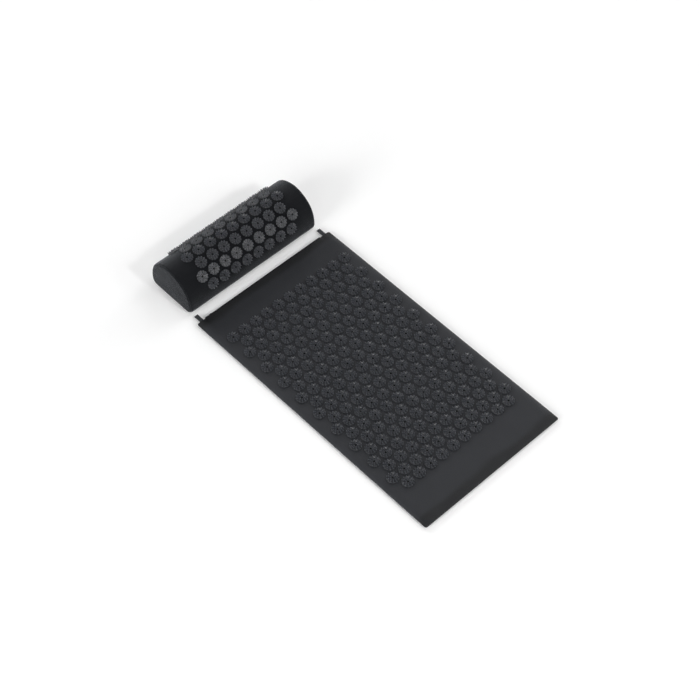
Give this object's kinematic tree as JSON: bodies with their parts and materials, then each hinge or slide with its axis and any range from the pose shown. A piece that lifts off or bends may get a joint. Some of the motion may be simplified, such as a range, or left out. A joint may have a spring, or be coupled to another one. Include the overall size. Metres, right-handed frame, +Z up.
{
  "type": "acupressure mat",
  "caption": "Thin foam acupressure mat and matching half-round neck pillow, both in zipped cloth covers carrying rows of round spiked plastic discs.",
  "frame": {"origin": "on the floor, under the middle of the box round the mat and the pillow", "axes": "+Z up; +Y along the mat from its bare end towards the pillow; +X across the mat, to the right as seen from its bare end"},
  "size_m": [0.4, 0.8974, 0.1045],
  "materials": {
    "cover_cloth": "matt charcoal woven cloth",
    "pillow_cloth": "matt near-black stretch cloth",
    "foam": "open-cell foam",
    "disc_plastic": "satin dark grey moulded plastic",
    "webbing": "ribbed webbing",
    "zip_tape": "black woven tape",
    "zip_chain": "black nylon coil",
    "zip_metal": "black lacquered die-cast metal"
  },
  "bodies": {
    "mat": {"mat_top_panel": "cover_cloth", "mat_base_panel": "cover_cloth", "mat_foam_core": "foam", "mat_disc_row_01": "disc_plastic", "mat_disc_row_02": "disc_plastic", "mat_disc_row_03": "disc_plastic", "mat_disc_row_04": "disc_plastic", "mat_disc_row_05": "disc_plastic", "mat_disc_row_06": "disc_plastic", "mat_disc_row_07": "disc_plastic", "mat_disc_row_08": "disc_plastic", "mat_disc_row_09": "disc_plastic", "mat_disc_row_10": "disc_plastic", "mat_disc_row_11": "disc_plastic", "mat_disc_row_12": "disc_plastic", "mat_disc_row_13": "disc_plastic", "mat_disc_row_14": "disc_plastic", "mat_disc_row_15": "disc_plastic", "mat_disc_row_16": "disc_plastic", "mat_disc_row_17": "disc_plastic", "mat_disc_row_18": "disc_plastic", "mat_disc_row_19": "disc_plastic", "mat_disc_row_20": "disc_plastic", "mat_zip_lower_tape": "zip_tape", "mat_zip_upper_tape": "zip_tape", "mat_zip_chain": "zip_chain"},
    "left_loop": {"mat_loop_left": "webbing"},
    "right_loop": {"mat_loop_right": "webbing"},
    "mat_slider": {"mat_zip_slider": "zip_metal"},
    "mat_puller": {"mat_zip_puller": "zip_metal"},
    "pillow": {"pillow_top_panel": "pillow_cloth", "pillow_base_panel": "pillow_cloth", "pillow_left_end_panel": "pillow_cloth", "pillow_right_end_panel": "pillow_cloth", "pillow_foam_core": "foam", "pillow_disc_row_1": "disc_plastic", "pillow_disc_row_2": "disc_plastic", "pillow_disc_row_3": "disc_plastic", "pillow_disc_row_4": "disc_plastic", "pillow_disc_row_5": "disc_plastic", "pillow_disc_row_6": "disc_plastic", "pillow_disc_row_7": "disc_plastic", "pillow_zip_lower_tape": "zip_tape", "pillow_zip_upper_tape": "zip_tape", "pillow_zip_chain": "zip_chain"},
    "pillow_slider": {"pillow_zip_slider": "zip_metal"},
    "pillow_puller": {"pillow_zip_puller": "zip_metal"}
  },
  "joints": [
    {"name": "pillow_lift", "type": "slide", "parent": "mat", "child": "pillow", "axis": [0, 0, 1], "range_m": [0, 0.25]},
    {"name": "left_loop_bend", "type": "hinge", "parent": "mat", "child": "left_loop", "pos_m": [-0.1855, 0.27875, 0.006], "axis": [1, 0, 0], "range_deg": [-12, 95], "stiffness_Nm_per_rad": 0.003},
    {"name": "right_loop_bend", "type": "hinge", "parent": "mat", "child": "right_loop", "pos_m": [0.1855, 0.27875, 0.006], "axis": [1, 0, 0], "range_deg": [-12, 95], "stiffness_Nm_per_rad": 0.003},
    {"name": "mat_zip_travel", "type": "slide", "parent": "mat", "child": "mat_slider", "axis": [1, 0, 0], "range_m": [0, 0.316]},
    {"name": "mat_puller_swing", "type": "hinge", "parent": "mat_slider", "child": "mat_puller", "pos_m": [-0.158, 0.27895, 0.006], "axis": [0, 0, -1], "range_deg": [0, 180]},
    {"name": "pillow_zip_travel", "type": "slide", "parent": "pillow", "child": "pillow_slider", "axis": [1, 0, 0], "range_m": [0, 0.33]},
    {"name": "pillow_puller_swing", "type": "hinge", "parent": "pillow_slider", "child": "pillow_puller", "pos_m": [-0.1672, 0.44695, 0.02], "axis": [0, 0, -1], "range_deg": [0, 180]}
  ]
}
